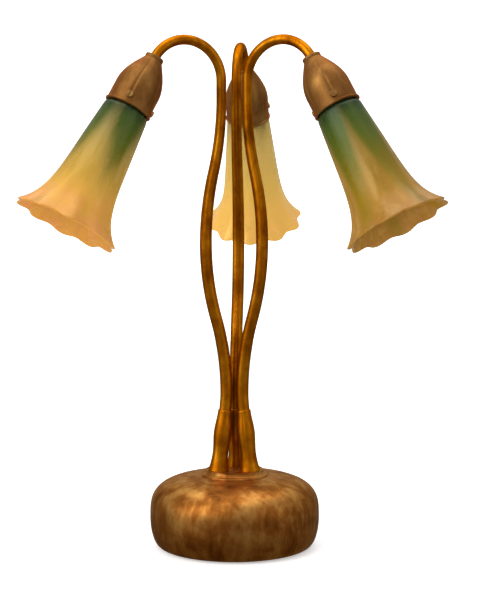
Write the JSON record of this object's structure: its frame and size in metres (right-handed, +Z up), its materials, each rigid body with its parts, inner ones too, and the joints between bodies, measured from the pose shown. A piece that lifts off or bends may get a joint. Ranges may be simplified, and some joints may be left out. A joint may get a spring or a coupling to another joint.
{
  "type": "tulip shade table lamp",
  "caption": "Table lamp on a heavy cushion-shaped base, with arching stems that carry downturned flared glass shades in cup-shaped husks.",
  "frame": {"origin": "middle of the base's resting face, on the table", "axes": "+Z up the stems' shared axis; the rear stem leans back 7 degrees to the +X side of +Y; the front, seen in the picture, faces -Y"},
  "size_m": [0.3101, 0.2783, 0.3842],
  "materials": {
    "base_bronze": "aged gilt bronze casting, satin",
    "stem_bronze": "aged gilt bronze, satin",
    "husk_copper": "brown patinated brass, satin",
    "shade_glass": "opal amber glass with green at the neck, lustred",
    "bulb_glass": "clear, polished",
    "brass_bright": "plain brass",
    "brass_screw": "aged brass, satin",
    "porcelain": "white glaze",
    "felt": "dark green felt",
    "steel": "plain zinc-plated steel",
    "iron": "rough grey casting",
    "moulded_black": "moulded, glossy",
    "wire_cover": "braided brown cotton over rubber"
  },
  "bodies": {
    "lamp": {"ballast_disc": "iron", "ballast_screws": "steel", "base_plate": "steel", "base_plate_screws": "steel", "base_shell": "base_bronze", "bulb_cap_left": "brass_bright", "bulb_cap_rear": "brass_bright", "bulb_cap_right": "brass_bright", "bulb_glass_left": "bulb_glass", "bulb_glass_rear": "bulb_glass", "bulb_glass_right": "bulb_glass", "bulb_mounts": "bulb_glass", "centre_contacts": "brass_bright", "cord_bush": "brass_screw", "cord_bush_nut": "brass_screw", "felt_pad": "felt", "husk_left": "husk_copper", "husk_nuts": "steel", "husk_rear": "husk_copper", "husk_right": "husk_copper", "junction_block": "porcelain", "junction_screw": "steel", "root_cup_left": "stem_bronze", "root_cup_rear": "stem_bronze", "root_cup_right": "stem_bronze", "root_plate": "stem_bronze", "shade_left": "shade_glass", "shade_rear": "shade_glass", "shade_right": "shade_glass", "shade_screws_left": "brass_screw", "shade_screws_rear": "brass_screw", "shade_screws_right": "brass_screw", "socket_body_left": "porcelain", "socket_body_rear": "porcelain", "socket_body_right": "porcelain", "socket_cap_left": "brass_bright", "socket_cap_rear": "brass_bright", "socket_cap_right": "brass_bright", "socket_shell_left": "brass_bright", "socket_shell_rear": "brass_bright", "socket_shell_right": "brass_bright", "stem_left": "stem_bronze", "stem_locknuts": "steel", "stem_rear": "stem_bronze", "stem_right": "stem_bronze", "stem_washers": "steel", "stem_wire_left": "wire_cover", "stem_wire_rear": "wire_cover", "stem_wire_right": "wire_cover", "switch_body": "moulded_black", "switch_bush": "brass_screw", "switch_leads": "wire_cover", "switch_ring_nut": "brass_screw", "terminal_screws": "brass_bright"},
    "switch_key": {"switch_shaft": "brass_screw", "switch_rotor": "moulded_black", "switch_paddle": "brass_screw"}
  },
  "joints": [
    {"name": "switch_turn", "type": "hinge", "parent": "lamp", "child": "switch_key", "pos_m": [-0.0194, 0.06767, 0.019], "axis": [-0.2756, 0.9613, 0], "continuous": true}
  ]
}
